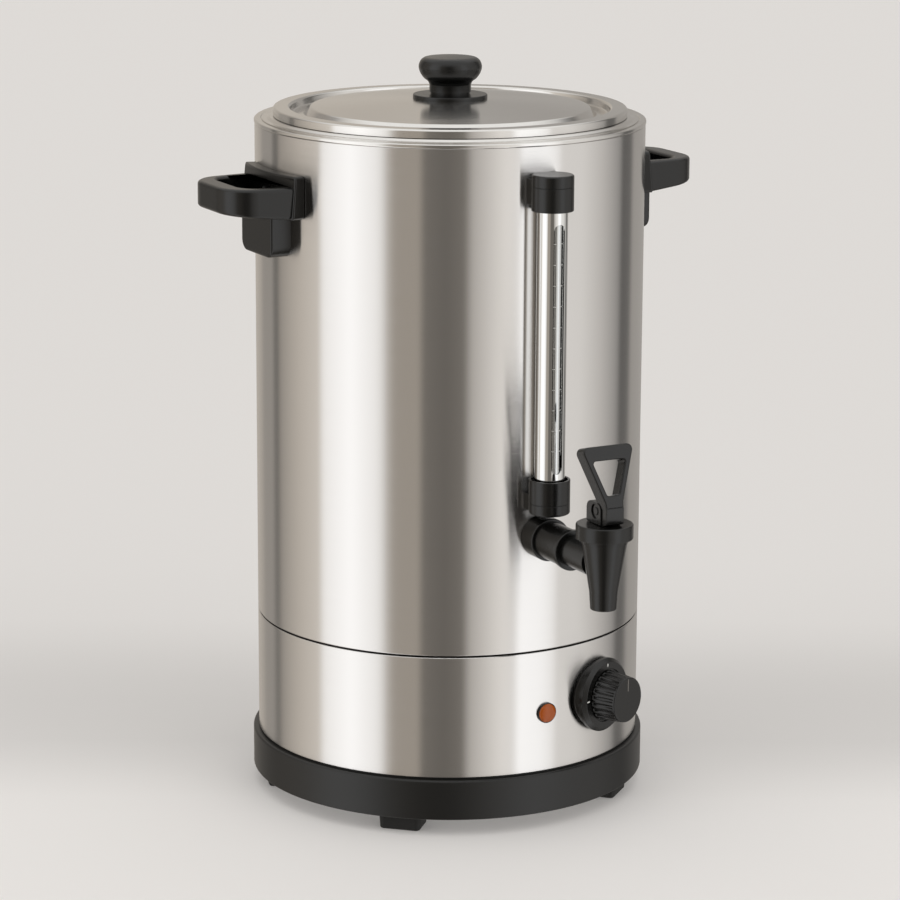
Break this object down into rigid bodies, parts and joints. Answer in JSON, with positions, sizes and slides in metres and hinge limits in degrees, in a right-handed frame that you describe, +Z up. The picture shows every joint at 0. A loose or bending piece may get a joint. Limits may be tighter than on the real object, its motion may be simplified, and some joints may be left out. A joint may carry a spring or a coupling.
{
  "type": "hot water urn",
  "caption": "Tall steel hot water urn with lift-off lid, side handles, sight gauge, lever tap, thermostat dial and pilot lamp on a footed plinth.",
  "frame": {"origin": "where the body's own upright axis meets the surface that the feet stand on", "axes": "+Z up along the body axis, -Y out through the tap, +X out through the handle on the right of someone who faces the tap"},
  "size_m": [0.378, 0.3934, 0.536],
  "materials": {
    "brushed_steel": "brushed round the body",
    "polished_steel": "satin, softly polished",
    "black_plastic": "semi-matt moulded",
    "foot_rubber": "matt",
    "silicone": "matt",
    "zinc_steel": "bright zinc plated",
    "stainless_rod": "turned",
    "aluminium_plate": "milled",
    "copper_alloy": "drawn",
    "chrome_tube": "polished",
    "gauge_glass": "clear",
    "amber_lens": "amber, moulded",
    "pale_moulding": "matt"
  },
  "bodies": {
    "urn": {"feet": "foot_rubber", "foot_screws": "zinc_steel", "base_plate": "zinc_steel", "base_plinth": "black_plastic", "base_screws": "zinc_steel", "base_band": "brushed_steel", "seam_ring": "polished_steel", "body_shell": "brushed_steel", "rim_ring": "polished_steel", "inner_tank": "polished_steel", "tank_floor": "polished_steel", "heat_spreader_plate": "aluminium_plate", "heating_element": "stainless_rod", "element_clamp": "zinc_steel", "clamp_bolts": "zinc_steel", "boil_dry_cutout": "pale_moulding", "sensor_bulb": "stainless_rod", "capillary_tube": "copper_alloy", "handle_right": "black_plastic", "handle_left": "black_plastic", "handle_screw_plates": "zinc_steel", "handle_screws": "zinc_steel", "gauge_tube_shield": "chrome_tube", "gauge_glass": "gauge_glass", "gauge_seals": "silicone", "gauge_top_cap": "black_plastic", "gauge_cap_screw": "zinc_steel", "gauge_collar": "black_plastic", "gauge_nipple": "stainless_rod", "gauge_nipple_nut": "stainless_rod", "gauge_nipple_spacer": "silicone", "tap_flange": "black_plastic", "tap_outlet_spacer": "silicone", "tap_shank_seal": "silicone", "tap_shank_nut": "stainless_rod", "tap_shank": "black_plastic", "tap_union_ring": "black_plastic", "tap_body": "black_plastic", "tap_bonnet": "black_plastic", "dial_plate": "black_plastic", "thermostat_body": "pale_moulding", "thermostat_screws": "zinc_steel", "lamp_housing": "black_plastic", "lamp_lens": "amber_lens", "inlet_socket": "black_plastic", "inlet_pins": "copper_alloy", "inlet_screws": "zinc_steel", "terminal_block": "pale_moulding"},
    "lid": {"lid_shell": "polished_steel", "lid_locating_ring": "polished_steel", "lid_knob_plate": "black_plastic", "lid_knob": "black_plastic", "lid_knob_screw": "zinc_steel"},
    "dial_knob": {"thermostat_knob": "black_plastic", "thermostat_spindle": "stainless_rod"},
    "tap_stem": {"tap_stem": "stainless_rod", "tap_seat_cup": "silicone", "tap_pin": "black_plastic", "tap_spring": "stainless_rod"},
    "tap_lever": {"tap_lever": "black_plastic"}
  },
  "joints": [
    {"name": "lid_lift", "type": "slide", "parent": "urn", "child": "lid", "axis": [0, 0, 1], "range_m": [0, 0.06]},
    {"name": "dial_turn", "type": "hinge", "parent": "urn", "child": "dial_knob", "pos_m": [0.05807, -0.13483, 0.0895], "axis": [-0.3955, 0.9184, 0], "range_deg": [0, 270]},
    {"name": "stem_lift", "type": "slide", "parent": "urn", "child": "tap_stem", "axis": [0, 0, 1], "range_m": [0, 0.00446], "stiffness_N_per_m": 30, "springref_m": -0.004, "deforming": ["tap_spring"]},
    {"name": "lever_tilt", "type": "hinge", "parent": "tap_stem", "child": "tap_lever", "pos_m": [0, -0.229, 0.254], "axis": [1, 0, 0], "range_deg": [0, 32]}
  ],
  "couplings": [
    {"joint": "lever_tilt", "follows": "stem_lift", "rad_per_m": 125}
  ]
}
